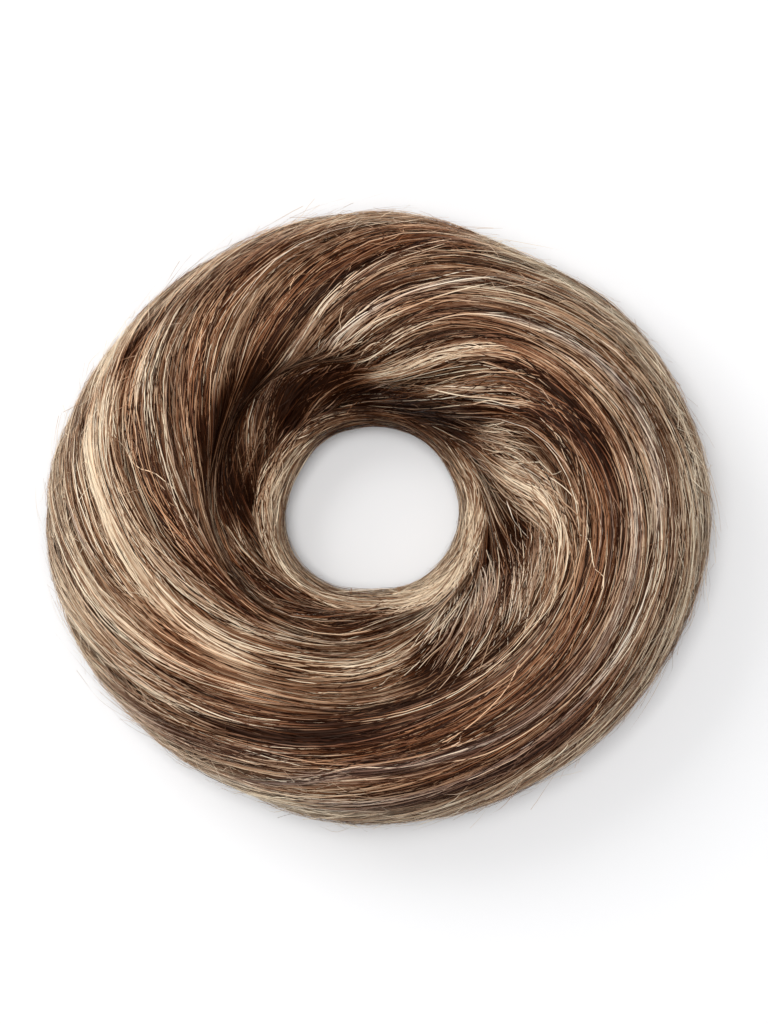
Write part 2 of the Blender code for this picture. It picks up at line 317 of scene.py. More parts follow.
# Light and dark streaks in the hair, as seen from above: the hair's own streaks, with painted shade in
# the recesses and creases and painted light on the outline's rim and the wrap.
# change in tone, warmth, ash, width, then the path as (turn, share of the way out)
streakRows = (
    (0.36, 0.0, 0.0, 0.060, (
        (146, 1.03), (165, 0.88), (180, 0.73), (195, 0.62), (212, 0.53), (226, 0.46),
    )),
    (-0.06, 0.0, 0.0, 0.060, ((240, 0.42), (256, 0.40), (272, 0.38))),
    (0.20, 0.0, 0.0, 0.045, ((262, 0.31), (276, 0.27), (290, 0.22), (302, 0.16))),
    (0.22, 0.0, 0.0, 0.035, ((168, 1.03), (185, 0.90), (200, 0.79), (216, 0.68), (236, 0.57))),
    (0.22, 0.0, 0.1, 0.022, (
        (66, 1.03), (80, 0.85), (92, 0.70), (102, 0.58), (110, 0.48), (121, 0.38), (136, 0.30),
    )),
    (0.16, 0.0, 0.2, 0.018, ((58, 0.88), (75, 0.68), (90, 0.52), (102, 0.40))),
    (0.30, 0.1, 0.0, 0.020, ((116, 0.76), (128, 0.62), (138, 0.50))),
    (0.30, 0.0, 0.0, 0.050, ((42, 0.60), (60, 0.44), (74, 0.30), (88, 0.20))),
    (-0.08, 0.2, 0.0, 0.100, ((18, 0.56), (30, 0.54), (46, 0.50))),
    # This row lightens the wrap on the hole's lower right, the side that faces the light: painted light
    (0.20, 0.0, 0.0, 0.070, ((-70, 0.03), (-40, 0.04), (-6, 0.03))),
    (0.23, 0.0, 0.0, 0.080, ((30, 0.14), (14, 0.22), (2, 0.31))),
    (0.07, 0.0, 0.0, 0.075, ((-4, 0.36), (-12, 0.39), (-24, 0.43))),
    (-0.04, 0.0, 0.0, 0.042, (
        (-20, 0.43), (-45, 0.42), (-62, 0.38), (-74, 0.34), (-100, 0.36),
    )),
    # The next four rows lighten the outline's rim: painted light
    (0.14, -0.5, 0.0, 0.050, ((4, 0.95), (-30, 0.94), (-62, 0.93), (-90, 0.96), (-112, 1.02))),
    (0.12, 0.1, 0.0, 0.050, ((84, 0.99), (105, 0.99), (130, 0.98))),
    (0.14, 0.0, 0.0, 0.045, ((196, 0.98), (212, 0.97), (226, 0.99))),
    (0.16, -0.2, 0.0, 0.060, ((0, 0.91), (20, 0.93), (44, 0.96), (64, 1.00))),
    (0.12, 0.0, 0.35, 0.020, (
        (238, 1.02), (254, 0.86), (266, 0.75), (286, 0.73), (302, 0.74), (332, 0.72), (364, 0.68),
    )),
    (0.12, 0.0, 0.3, 0.014, ((262, 0.92), (290, 0.86), (310, 0.83), (334, 0.79))),
    (0.16, 0.0, 0.4, 0.020, ((2, 0.78), (24, 0.80), (44, 0.74), (58, 0.66))),
    # The next two rows paint shade: in the recess beside the hole and down the crease that runs out of it
    (-0.56, 0.3, 0.0, 0.095, ((98, 0.18), (112, 0.23), (122, 0.24), (132, 0.22))),
    (-0.42, 0.2, 0.0, 0.090, ((130, 0.42), (148, 0.41), (158, 0.34), (168, 0.26), (180, 0.19))),
    # The next three rows darken and warm the creases between locks: painted shade
    (-0.20, 0.6, 0.0, 0.095, ((74, 0.94), (92, 0.82), (108, 0.68), (120, 0.55))),
    (-0.10, 0.6, 0.0, 0.080, ((112, 0.92), (130, 0.76), (143, 0.60), (152, 0.48))),
    (-0.12, 0.7, 0.0, 0.050, (
        (148, 0.90), (160, 0.73), (173, 0.55), (186, 0.42), (202, 0.33), (222, 0.27),
    )),
    # The next five rows paint shade beside the wrap and in the creases between locks
    (-0.20, 0.4, 0.0, 0.055, ((205, 0.22), (212, 0.17), (240, 0.14), (272, 0.13))),
    (-0.30, 0.1, 0.0, 0.045, ((236, 0.76), (252, 0.66), (266, 0.53), (280, 0.46), (294, 0.44))),
    (-0.54, 0.2, 0.0, 0.095, ((292, 0.30), (315, 0.26), (334, 0.22), (348, 0.20))),
    (-0.36, 0.1, 0.0, 0.060, ((26, 0.16), (45, 0.12), (66, 0.10), (92, 0.12))),
    (-0.28, 0.6, 0.0, 0.040, ((16, 0.57), (27, 0.46), (35, 0.34), (41, 0.24))),
    (-0.12, 0.4, 0.0, 0.150, ((262, 0.68), (280, 0.78), (300, 0.82), (320, 0.86))),
    (-0.12, 0.4, 0.0, 0.100, (
        (212, 0.62), (260, 0.60), (310, 0.60), (360, 0.58), (400, 0.57), (450, 0.60),
    )),
    (-0.30, 0.2, 0.0, 0.022, ((138, 0.92), (150, 0.925), (160, 0.94))),
    (0.14, 0.0, 0.0, 0.110, ((140, 0.86), (160, 0.84), (180, 0.84), (200, 0.90))),
    (0.04, 0.2, 0.0, 0.080, ((176, 0.28), (190, 0.27), (200, 0.27))),
    (-0.12, 0.2, 0.2, 0.050, ((222, 0.96), (236, 0.88), (248, 0.77))),
    (-0.16, 0.3, 0.2, 0.030, ((268, 0.93), (284, 0.90), (308, 0.88))),
    (0.07, 0.0, 0.0, 0.110, ((204, 0.86), (236, 0.86), (262, 0.86))),
    (-0.12, 0.1, 0.0, 0.070, ((252, 0.62), (270, 0.60), (290, 0.58))),
    (-0.10, 0.1, 0.0, 0.080, ((20, 0.42), (32, 0.40), (44, 0.36))),
    (-0.13, 0.0, 0.0, 0.090, ((288, 0.40), (302, 0.40), (316, 0.38))),
    (0.10, 0.0, 0.0, 0.045, ((-30, 0.68), (0, 0.68), (30, 0.66))),
    # This row paints shade in the recess beside the hole
    (-0.24, 0.2, 0.0, 0.060, ((132, 0.15), (152, 0.14), (172, 0.14))),
)
# The plain tone, and what the streaks, the painted light on the outline's rim and single strands change
# in it
hairTones = {
    "plain": 0.312,
    "streakGain": 1.35,
    "rimPaintedLight": 0.24,
    "plainBelow": 0.006,
    "wispSpread": 0.08,
    "strandSpread": 0.31,
    "warmth": 0.16,
    "rimStart": 0.92,
    "rimWidth": 0.06,
    "streakFade": 7,
    "brightShare": 0.09,
    "brightGain": 0.30,
    "alongSpread": 0.03,
    "outerShare": 0.6,
}


# tone, warmth and ash at each point, from the streaks that it lies in and the painted light on the
# outline's rim
def hairTone(points):
    x = points[..., 0] - ringShape["holeX"]
    y = points[..., 1] - ringShape["holeY"]
    turn = np.degrees(np.arctan2(y, x))
    rim = holeRadius(turn)
    edge = edgeRadius(turn)
    share = (np.hypot(x, y) - rim) / (edge - rim)
    low = points[..., 2] < ringShape["bellyHeight"]
    share = np.where(low & (share > hairTones["outerShare"]), 1.0, share)
    seenFromAbove = np.clip(points[..., 2] / hairTones["plainBelow"], 0, 1)
    # Points near the outline are lightened: painted light on the rim
    paintedRimLight = np.clip((share - hairTones["rimStart"]) / hairTones["rimWidth"], 0, 1) * seenFromAbove
    tone = hairTones["plain"] + hairTones["rimPaintedLight"] * paintedRimLight
    warmth = np.full(turn.shape, hairTones["warmth"])
    ash = np.zeros(turn.shape)
    for change, warmer, ashier, width, path in streakRows:
        pathTurns, pathShares = np.array(path, float).T
        if pathTurns[0] > pathTurns[-1]:
            pathTurns, pathShares = pathTurns[::-1], pathShares[::-1]
        middle = (pathTurns[0] + pathTurns[-1]) / 2
        near = middle + angleBetween(turn, middle)
        offset = (share - np.interp(near, pathTurns, pathShares)) / width
        past = np.maximum(np.maximum(pathTurns[0] - near, near - pathTurns[-1]), 0)
        past = past / hairTones["streakFade"]
        weight = np.exp(-(offset**2) - past**2) * seenFromAbove
        tone = tone + hairTones["streakGain"] * change * weight
        warmth = warmth + warmer * weight
        ash = ash + ashier * weight
    return tone, warmth, ash


# Shader node groups

def newGroup(name, inputs, outputs):
    group = bpy.data.node_groups.new(name, "ShaderNodeTree")
    for label, kind, value in inputs:
        made = group.interface.new_socket(label, in_out="INPUT", socket_type=kind)
        if value is not None:
            made.default_value = value
    for label, kind in outputs:
        group.interface.new_socket(label, in_out="OUTPUT", socket_type=kind)
    start = group.nodes.new("NodeGroupInput")
    end = group.nodes.new("NodeGroupOutput")
    return group, start, end


def addNode(tree, kind, **settings):
    node = tree.nodes.new(kind)
    for key, value in settings.items():
        setattr(node, key, value)
    return node


def addNoise(tree, scale, detail, place):
    noise = addNode(tree, "ShaderNodeTexNoise")
    noise.inputs["Scale"].default_value = scale
    noise.inputs["Detail"].default_value = detail
    tree.links.new(place, noise.inputs["Vector"])
    return noise.outputs["Fac"]


def addBump(tree, look, height, shader):
    bump = addNode(tree, "ShaderNodeBump")
    bump.inputs["Strength"].default_value = look["bumpStrength"]
    bump.inputs["Distance"].default_value = look["bumpHeight"]
    tree.links.new(height, bump.inputs["Height"])
    tree.links.new(bump.outputs["Normal"], shader.inputs["Normal"])


def newMaterial(name):
    material = bpy.data.materials.new(name)
    material.use_nodes = True
    tree = material.node_tree
    return material, tree, tree.nodes["Principled BSDF"]


def mathNode(tree, operation, first, second, clamp=False):
    node = addNode(tree, "ShaderNodeMath", operation=operation, use_clamp=clamp)
    for i, value in enumerate((first, second)):
        if isinstance(value, (int, float)):
            node.inputs[i].default_value = value
        elif value is not None:
            tree.links.new(value, node.inputs[i])
    return node.outputs[0]


def mixColours(tree, blend, factor, first, second):
    node = addNode(tree, "ShaderNodeMix", data_type="RGBA", blend_type=blend)
    for socket, value in ((node.inputs[0], factor), (node.inputs[6], first), (node.inputs[7], second)):
        if isinstance(value, (int, float, tuple)):
            socket.default_value = value
        else:
            tree.links.new(value, socket)
    return node.outputs[2]


fibreNoise = {"fineScale": 1.0, "fineDetail": 3.0, "broadScale": 0.22, "broadDetail": 2.0}


# Noise drawn out along the hair: lie is (across, along, 0) in millimetres
def makeFibreGroup():
    group, start, end = newGroup(
        "hairFibres",
        (
            ("Lie", "NodeSocketVector", None),
            ("Fineness", "NodeSocketFloat", 3.0),
            ("Length", "NodeSocketFloat", 0.05),
        ),
        (("Height", "NodeSocketFloat"), ("Streak", "NodeSocketFloat")),
    )
    parts = addNode(group, "ShaderNodeSeparateXYZ")
    group.links.new(start.outputs["Lie"], parts.inputs[0])
    x = mathNode(group, "MULTIPLY", parts.outputs[0], start.outputs["Fineness"])
    y = mathNode(group, "MULTIPLY", parts.outputs[1], start.outputs["Length"])
    drawn = addNode(group, "ShaderNodeCombineXYZ")
    group.links.new(x, drawn.inputs[0])
    group.links.new(y, drawn.inputs[1])
    fine = addNoise(group, fibreNoise["fineScale"], fibreNoise["fineDetail"], drawn.outputs[0])
    broad = addNoise(group, fibreNoise["broadScale"], fibreNoise["broadDetail"], drawn.outputs[0])
    streak = mathNode(group, "SUBTRACT", mathNode(group, "ADD", fine, broad), 1.0)
    group.links.new(fine, end.inputs["Height"])
    group.links.new(streak, end.inputs["Streak"])
    return group


# Colours of the hair from the darkest tone to the lightest, what warms and greys it, and the tint of its
# painted shade
hairTints = {
    "tones": (
        (0.0, (0.014, 0.0034, 0.0006, 1)),
        (0.20, (0.060, 0.0190, 0.0060, 1)),
        (0.44, (0.220, 0.108, 0.055, 1)),
        (0.70, (0.480, 0.325, 0.205, 1)),
        (1.0, (0.860, 0.735, 0.545, 1)),
    ),
    "warm": (1.16, 0.86, 0.70, 1),
    "ashSaturation": 0.45,
    "paintedShade": (0.20, 0.12, 0.07, 1),
    "gloss": (1.0, 0.80, 0.62, 1),
    "roughness": 0.46,
    "streakRoughness": 0.25,
}


# The hair's colour from its tone, with warm and ashy strands, and painted shade where it lies deep
def makeColourGroup():
    group, start, end = newGroup(
        "hairColour",
        (
            ("Tone", "NodeSocketFloat", 0.4),
            ("Warmth", "NodeSocketFloat", 0.0),
            ("Ash", "NodeSocketFloat", 0.0),
            ("Depth", "NodeSocketFloat", 0.0),
            ("Streak", "NodeSocketFloat", 0.0),
            ("Streak Strength", "NodeSocketFloat", 0.2),
        ),
        (("Color", "NodeSocketColor"), ("Roughness", "NodeSocketFloat")),
    )
    streaked = mathNode(group, "MULTIPLY", start.outputs["Streak"], start.outputs["Streak Strength"])
    tone = mathNode(group, "ADD", start.outputs["Tone"], streaked, clamp=True)
    ramp = addNode(group, "ShaderNodeValToRGB")
    stops = hairTints["tones"]
    while len(ramp.color_ramp.elements) < len(stops):
        ramp.color_ramp.elements.new(0.5)
    for element, (place, colour) in zip(ramp.color_ramp.elements, stops):
        element.position = place
        element.color = colour
    group.links.new(tone, ramp.inputs[0])
    warm = mixColours(group, "MULTIPLY", start.outputs["Warmth"], ramp.outputs[0], hairTints["warm"])
    grey = addNode(group, "ShaderNodeHueSaturation")
    grey.inputs["Saturation"].default_value = hairTints["ashSaturation"]
    grey.inputs["Value"].default_value = 1.0
    group.links.new(warm, grey.inputs["Color"])
    ashy = mixColours(group, "MIX", start.outputs["Ash"], warm, grey.outputs[0])
    # Depth multiplies in the tint of the painted shade
    paintedShade = mixColours(group, "MULTIPLY", start.outputs["Depth"], ashy, hairTints["paintedShade"])
    group.links.new(paintedShade, end.inputs["Color"])
    change = mathNode(group, "MULTIPLY", start.outputs["Streak"], hairTints["streakRoughness"])
    rough = mathNode(group, "ADD", change, hairTints["roughness"])
    group.links.new(rough, end.inputs["Roughness"])
    return group


fibreGroup = makeFibreGroup()
colourGroup = makeColourGroup()


def makeHairMaterial(name, look):
    material, tree, shader = newMaterial(name)
    fibres = addNode(tree, "ShaderNodeGroup", node_tree=fibreGroup)
    fibres.inputs["Fineness"].default_value = look["fineness"]
    fibres.inputs["Length"].default_value = look["length"]
    lie = addNode(tree, "ShaderNodeAttribute", attribute_name="lie")
    tree.links.new(lie.outputs["Vector"], fibres.inputs["Lie"])
    colour = addNode(tree, "ShaderNodeGroup", node_tree=colourGroup)
    colour.inputs["Streak Strength"].default_value = look["streakStrength"]
    for label in ("Tone", "Warmth", "Ash", "Depth"):
        value = addNode(tree, "ShaderNodeAttribute", attribute_name=label.lower())
        tree.links.new(value.outputs["Fac"], colour.inputs[label])
    tree.links.new(fibres.outputs["Streak"], colour.inputs["Streak"])
    tree.links.new(colour.outputs["Color"], shader.inputs["Base Color"])
    tree.links.new(colour.outputs["Roughness"], shader.inputs["Roughness"])
    addBump(tree, look, fibres.outputs["Height"], shader)
    shader.inputs["Specular IOR Level"].default_value = look["specular"]
    shader.inputs["Specular Tint"].default_value = hairTints["gloss"]
    return material


hairLooks = {
    "hairMass": {
        "fineness": 4.0, "length": 0.07, "streakStrength": 0.55,
        "bumpStrength": 0.9, "bumpHeight": 0.0006, "specular": 0.04,
    },
    "hairStrands": {
        "fineness": 4.0, "length": 0.03, "streakStrength": 0.40,
        "bumpStrength": 0.25, "bumpHeight": 0.0001, "specular": 0.10,
    },
    "hairClumps": {
        "fineness": 5.0, "length": 0.018, "streakStrength": 1.1,
        "bumpStrength": 0.8, "bumpHeight": 0.0003, "specular": 0.07,
    },
}
hairMaterials = [makeHairMaterial(name, look) for name, look in hairLooks.items()]
print("materials made")


# Meshes from arrays

# depth is the amount of painted shade at each point
valueNames = ("tone", "warmth", "ash", "depth")


# Corners of rows by columns of quads on a unit square
def sheetCorners(rows, columns):
    row, column = np.meshgrid(np.arange(rows), np.arange(columns), indexing="ij")
    u = np.stack([column, column + 1, column + 1, column], axis=-1) / columns
    v = np.stack([row, row, row + 1, row + 1], axis=-1) / rows
    return np.stack([u, v], axis=-1)


# A grid of points, rows by columns, as one chunk of a mesh
def gridChunk(points, lie, values, materialIndex, closed=False):
    rows, columns = points.shape[:2]
    index = np.arange(rows * columns).reshape(rows, columns)
    if closed:
        index = np.concatenate([index, index[:, :1]], axis=1)
    quads = np.stack([index[:-1, :-1], index[:-1, 1:], index[1:, 1:], index[1:, :-1]], axis=-1)
    return {
        "points": points.reshape(-1, 3),
        "quads": quads.reshape(-1, 4),
        "lie": lie.reshape(-1, 3),
        "values": {key: values[key].reshape(-1) for key in valueNames},
        "material": materialIndex,
        "corners": sheetCorners(*quads.shape[:2]).reshape(1, -1, 2),
    }


# Where loose strands lie in the finish: each has its own place across, and runs along its length
def strandLie(rng, count, steps, runMm):
    place = np.repeat(rng.uniform(0, 900, count)[:, None], steps, axis=1)
    along = np.linspace(0, 1, steps)[None, :] * runMm + np.zeros((count, 1))
    return np.stack([place, along, 0 * along], axis=-1)


# Strands as ribbons that twist a little along their length.
# centre and normal are strands by points by 3, and width is strands by points.
def strandChunk(rng, centre, normal, width, twist, runMm, values, materialIndex=1):
    tangent = unit(np.gradient(centre, axis=1))
    side = unit(np.cross(tangent, normal))
    upward = unit(np.cross(side, tangent))
    turned = side * np.cos(twist)[..., None] + upward * np.sin(twist)[..., None]
    half = width[..., None] / 2
    points = np.stack([centre - turned * half, centre + turned * half], axis=2)
    points[..., 2] = np.maximum(points[..., 2], ringShape["floorGap"])
    strands, steps = centre.shape[:2]
    # the two rails lie half the width, in millimetres, to either side
    railLie = np.repeat(strandLie(rng, strands, steps, runMm)[:, :, None], 2, axis=2)
    railLie[:, :, 0, 0] -= 500 * width
    railLie[:, :, 1, 0] += 500 * width
    index = np.arange(strands * steps * 2).reshape(strands, steps, 2)
    quads = np.stack(
        [index[:, :-1, 0], index[:, 1:, 0], index[:, 1:, 1], index[:, :-1, 1]], axis=-1
    )
    return {
        "points": points.reshape(-1, 3),
        "quads": quads.reshape(-1, 4),
        "lie": railLie.reshape(-1, 3),
        "values": {key: np.repeat(values[key].reshape(-1), 2) for key in valueNames},
        "material": materialIndex,
        "corners": np.repeat(sheetCorners(1, steps - 1).reshape(1, -1, 2), strands, axis=0),
    }


bakeMap = {"gridShare": 0.4, "cellStretch": 8, "cellMargin": 0.12}


# A map that colours can be baked onto: a band for each chunk, and in it a cell for each strand
def bakeCorners(chunks):
    counts = np.array([len(chunk["corners"]) for chunk in chunks])
    strands = counts[counts > 1].sum()
    heights = np.where(counts > 1, counts, max(bakeMap["gridShare"] * strands, 1))
    edges = np.concatenate([[0], np.cumsum(heights)]) / heights.sum()
    placed = []
    for chunk, count, low, high in zip(chunks, counts, edges[:-1], edges[1:]):
        columns = max(1, round(math.sqrt(count / bakeMap["cellStretch"])))
        rows = math.ceil(count / columns)
        cell = np.stack([np.arange(count) % columns, np.arange(count) // columns], axis=-1)
        inCell = bakeMap["cellMargin"] + (1 - 2 * bakeMap["cellMargin"]) * chunk["corners"]
        corners = (cell[:, None] + inCell) / (columns, rows)
        placed.append((corners * (1, high - low) + (0, low)).reshape(-1, 2))
    return np.concatenate(placed)


def makeMesh(name, chunks, materials):
    mesh = bpy.data.meshes.new(name)
    points = np.concatenate([chunk["points"] for chunk in chunks])
    starts = np.cumsum([0] + [len(chunk["points"]) for chunk in chunks[:-1]])
    quads = np.concatenate([chunk["quads"] + start for chunk, start in zip(chunks, starts)])
    slots = np.concatenate([np.full(len(chunk["quads"]), chunk["material"]) for chunk in chunks])
    mesh.vertices.add(len(points))
    mesh.vertices.foreach_set("co", points.astype(np.float32).ravel())
    mesh.loops.add(quads.size)
    mesh.loops.foreach_set("vertex_index", quads.astype(np.int32).ravel())
    mesh.polygons.add(len(quads))
    mesh.polygons.foreach_set("loop_start", np.arange(0, quads.size, 4, dtype=np.int32))
    mesh.polygons.foreach_set("material_index", slots.astype(np.int32))
    mesh.polygons.foreach_set("use_smooth", np.ones(len(quads), bool))
    mesh.update(calc_edges=True)
    for key in valueNames:
        values = np.concatenate([chunk["values"][key] for chunk in chunks])
        layer = mesh.attributes.new(key, "FLOAT", "POINT")
        layer.data.foreach_set("value", values.astype(np.float32))
    lie = mesh.attributes.new("lie", "FLOAT_VECTOR", "POINT")
    lies = np.concatenate([chunk["lie"] for chunk in chunks])
    lie.data.foreach_set("vector", lies.astype(np.float32).ravel())
    mesh.uv_layers.new(name="OFBake")
    corners = bakeCorners(chunks).astype(np.float32)
    mesh.uv_layers["OFBake"].uv.foreach_set("vector", corners.ravel())
    mesh.validate()
    for material in materials:
        mesh.materials.append(material)
    made = bpy.data.objects.new(name, mesh)
    bpy.context.scene.collection.objects.link(made)
    return made


def smoothNoise(rng, count, steps, knots):
    values = rng.normal(0, 1, (count, knots))
    places = np.linspace(0, knots - 1, steps)
    i = np.minimum(places.astype(int), knots - 2)
    part = places - i
    part = part * part * (3 - 2 * part)
    return values[:, i] * (1 - part) + values[:, i + 1] * part


# depth is how much painted shade a point gets
def hairValues(points, tone, depth, warmth=0.0, ash=0.0):
    fieldTone, fieldWarmth, fieldAsh = hairTone(points)
    return {
        "tone": np.clip(fieldTone + tone, 0, 1),
        "warmth": np.clip(fieldWarmth + warmth, 0, 1),
        "ash": np.clip(fieldAsh + ash, 0, 1),
        "depth": np.clip(depth + 0 * fieldTone, 0, 1),
    }


lockHair = {
    "seed": 500,
    "relief": 0.0021,
    "surfaceDrop": 0.0006,
    "massRows": 100,
    "massColumns": 22,
    "massTone": -0.10,
    "massPaintedShade": 0.45,
    "furrowPaintedShade": 0.4,
    "massLap": 0.02,
    "waves": 12,
    "waveShare": 0.35,
    "wave": 0.0004,
    "lieStep": 20,
    "lieAcross": 14,
    "runMm": 250,
    "firstBegin": -0.10,
    "lastFinish": 0.90,
    "lastBegin": 0.84,
    "beginSpread": 0.04,
    "finishSpread": 0.05,
    "shortest": 0.08,
    "spreads": (0.4, 1.4),
    "ownDrift": 0.4,
    "wander": 0.05,
    "fanEnd": 0.45,
    "fanMiddle": 0.55,
    "fanSpread": 0.30,
    "strandRelief": 0.75,
    "ashMiddle": -0.25,
    "ashSpread": 0.30,
    "warmthSpread": 0.2,
    "strandRunMm": 150,
    "heightSpread": 0.00022,
    "endDrop": 0.0010,
    "twist": 0.45,
    "depth": 0.36,
    "paintedShadeLift": 0.0020,
    "darkestPaintedShade": 0.88,
}
# Wide clumps whose finish has fine hairs in it, single strands, and strands that lie across
lockLayers = (
    {
        "wisps": 26, "each": 9, "steps": 20, "width": 0.00080, "spread": 0.055,
        "low": -0.0009, "high": 0.0001, "drift": 0.06, "length": (0.25, 0.60), "material": 2, "tone": 0.0,
    },
    {
        "wisps": 92, "each": 12, "steps": 18, "width": 0.00019, "spread": 0.045,
        "low": -0.0004, "high": 0.0008, "drift": 0.13, "length": (0.22, 0.55), "material": 1, "tone": 0.0,
    },
    {
        "wisps": 110, "each": 3, "steps": 12, "width": 0.00016, "spread": 0.060,
        "low": 0.0003, "high": 0.0012, "drift": 0.45, "length": (0.12, 0.32), "material": 1, "tone": 0.16,
    },
)


def lockMass(k, rng):
    rows, columns = lockHair["massRows"], lockHair["massColumns"]
    lap = lockHair["massLap"]
    side, along = np.meshgrid(np.linspace(-lap, 1 + lap, columns), np.linspace(0, 1, rows))
    turn, swing = flowPlace(k + side, along)
    furrow = np.abs(2 * side - 1) ** 3
    waves = smoothNoise(rng, 1, columns, lockHair["waves"]) * lockHair["waveShare"]
    lift = -lockHair["surfaceDrop"] - lockHair["relief"] * furrow + lockHair["wave"] * waves
    points = hairPoint(turn, swing, lift)
    across = side * lockHair["lieAcross"] + lockHair["lieStep"] * k
    lie = np.stack([across, along * lockHair["runMm"], 0 * side], axis=-1)
    # Painted shade: the mass under the strands is darkened, and more so in the furrows between locks
    depth = lockHair["massPaintedShade"] + lockHair["furrowPaintedShade"] * furrow
    return gridChunk(points, lie, hairValues(points, lockHair["massTone"], depth), 0)


def fade(t, share=0.1):
    return np.minimum(1, np.minimum(t, 1 - t) / share)


# Which wisp each strand is in
def wispNumbers(hair):
    return np.repeat(np.arange(hair["wisps"]), hair["each"])


# The least width that a single strand has, as a share of its layer's
thinnest = 0.6


# Each strand has its own width, and narrows towards its ends
def strandWidth(rng, base, widest, count, ends, tip=0.25):
    own = rng.uniform(thinnest, widest, count)[:, None]
    return base * own * (tip + (1 - tip) * ends)


def strandTones(rng, count, steps, wisp, wispTone=0.0):
    spread = np.concatenate([[0], rng.normal(0, hairTones["wispSpread"], wisp.max() + 1)])[1:]
    own = rng.normal(0, hairTones["strandSpread"], count)
    own = own + (rng.random(count) < hairTones["brightShare"]) * hairTones["brightGain"]
    along = smoothNoise(rng, count, steps, 4) * hairTones["alongSpread"]
    return (wispTone + spread[wisp] + own)[:, None] + along


def lockStrands(k, rng, layer):
    steps, wisps = layer["steps"], layer["wisps"]
    wisp = wispNumbers(layer)
    count = len(wisp)
    lastStart = lockHair["lastFinish"] - layer["length"][0]
    start = rng.uniform(lockHair["firstBegin"], lastStart, wisps)[wisp]
    length = rng.uniform(*layer["length"], wisps)[wisp]
    begin = start + rng.normal(0, lockHair["beginSpread"], count)
    begin = np.clip(begin, 0, lockHair["lastBegin"])
    finish = begin + length + rng.normal(0, lockHair["finishSpread"], count)
    finish = np.clip(finish, begin + lockHair["shortest"], 1.0)
    t = np.linspace(0, 1, steps)[None, :]
    along = begin[:, None] + (finish - begin)[:, None] * t
    middle = rng.uniform(0.0, 1.0, wisps)
    spread = rng.uniform(*lockHair["spreads"], wisps) * layer["spread"]
    slant = rng.normal(0, layer["drift"], wisps)[wisp]
    slant = slant + rng.normal(0, layer["drift"] * lockHair["ownDrift"], count)
    wander = smoothNoise(rng, wisps, steps, 5) * lockHair["wander"]
    own = rng.normal(0, 1, count)
    fan = lockHair["fanEnd"] + lockHair["fanMiddle"] * np.sin(np.pi * t)
    fan = fan + smoothNoise(rng, count, steps, 5) * lockHair["fanSpread"]
    side = middle[wisp][:, None] + wander[wisp] + own[:, None] * spread[wisp][:, None] * fan
    side = side + slant[:, None] * (t - 0.5)
    turn, swing = flowPlace(k + side, along)
    height = rng.uniform(layer["low"], layer["high"], wisps)[wisp]
    height = height + rng.normal(0, lockHair["heightSpread"], count)
    furrow = np.abs(2 * np.mod(side, 1) - 1) ** 3
    lift = height[:, None] - lockHair["relief"] * lockHair["strandRelief"] * furrow
    lift = lift + smoothNoise(rng, count, steps, 6) * lockHair["heightSpread"]
    ends = fade(t)
    lift = lift - (1 - ends) * lockHair["endDrop"]
    points = hairPoint(turn, swing, lift)
    width = strandWidth(rng, layer["width"], 1.25, count, ends)
    twist = smoothNoise(rng, count, steps, 6) * lockHair["twist"]
    tone = strandTones(rng, count, steps, wisp, layer["tone"])
    ash = np.maximum(0, rng.normal(lockHair["ashMiddle"], lockHair["ashSpread"], count))[:, None]
    warmth = rng.normal(0, lockHair["warmthSpread"], count)[:, None]
    # Painted shade: strands that lie lower, under the others, are darker
    depth = np.clip(lockHair["depth"] - lift / lockHair["paintedShadeLift"], 0, lockHair["darkestPaintedShade"])
    values = hairValues(points, tone, depth, warmth, ash)
    normal = hairNormal(turn, swing)
    runMm = lockHair["strandRunMm"]
    return strandChunk(rng, points, normal, width, twist, runMm, values, layer["material"])


for k in range(lockCount):
    rng = np.random.default_rng(lockHair["seed"] + k)
    number = f"{k + 1:02d}"
    chunks = [lockMass(k, rng)] + [lockStrands(k, rng, layer) for layer in lockLayers]
    lock = makeMesh("hairLock" + number, chunks, hairMaterials)
    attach(lock, "root")
    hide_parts("lock_" + number)
print("outer locks laid")


wrapHair = {
    "seed": 77,
    "massRows": 22,
    "massColumns": 180,
    "massDrop": 0.0004,
    "lieAcross": 12,
    "lieStart": 400,
    "mmPerTurn": 0.5,
    "massTone": -0.05,
    "massPaintedShade": 0.4,
    "wisps": 110,
    "each": 12,
    "steps": 22,
    "beginSpread": 8,
    "run": (50, 130),
    "runSpread": 10,
    "low": -0.0001,
    "high": 0.0008,
    "width": 0.00019,
    "twist": 0.45,
    "tone": 0.40,
    "shadeTurn": 85,
    "shade": 0.50,
    "shadePower": 1.5,
    "middles": (0.10, 0.98),
    "middleSpread": 0.05,
    "slant": 0.05,
    "slantSpread": 0.16,
    "wander": 0.035,
    "heightSpread": 0.0002,
    "footPaintedShade": 0.25,
    "runMm": 60,
}


def wrapMass():
    rows, columns = wrapHair["massRows"], wrapHair["massColumns"]
    turns = np.linspace(0, 360, columns, endpoint=False)
    turn, around = np.meshgrid(turns, np.linspace(0, 1, rows))
    points = wrapPoint(turn, around, -wrapHair["massDrop"])
    across = around * wrapHair["lieAcross"] + wrapHair["lieStart"]
    lie = np.stack([across, turn * wrapHair["mmPerTurn"], 0 * turn], axis=-1)
    # The wrap's mass gets painted shade too
    values = hairValues(points, wrapHair["massTone"], wrapHair["massPaintedShade"])
    return gridChunk(points, lie, values, 0, closed=True)


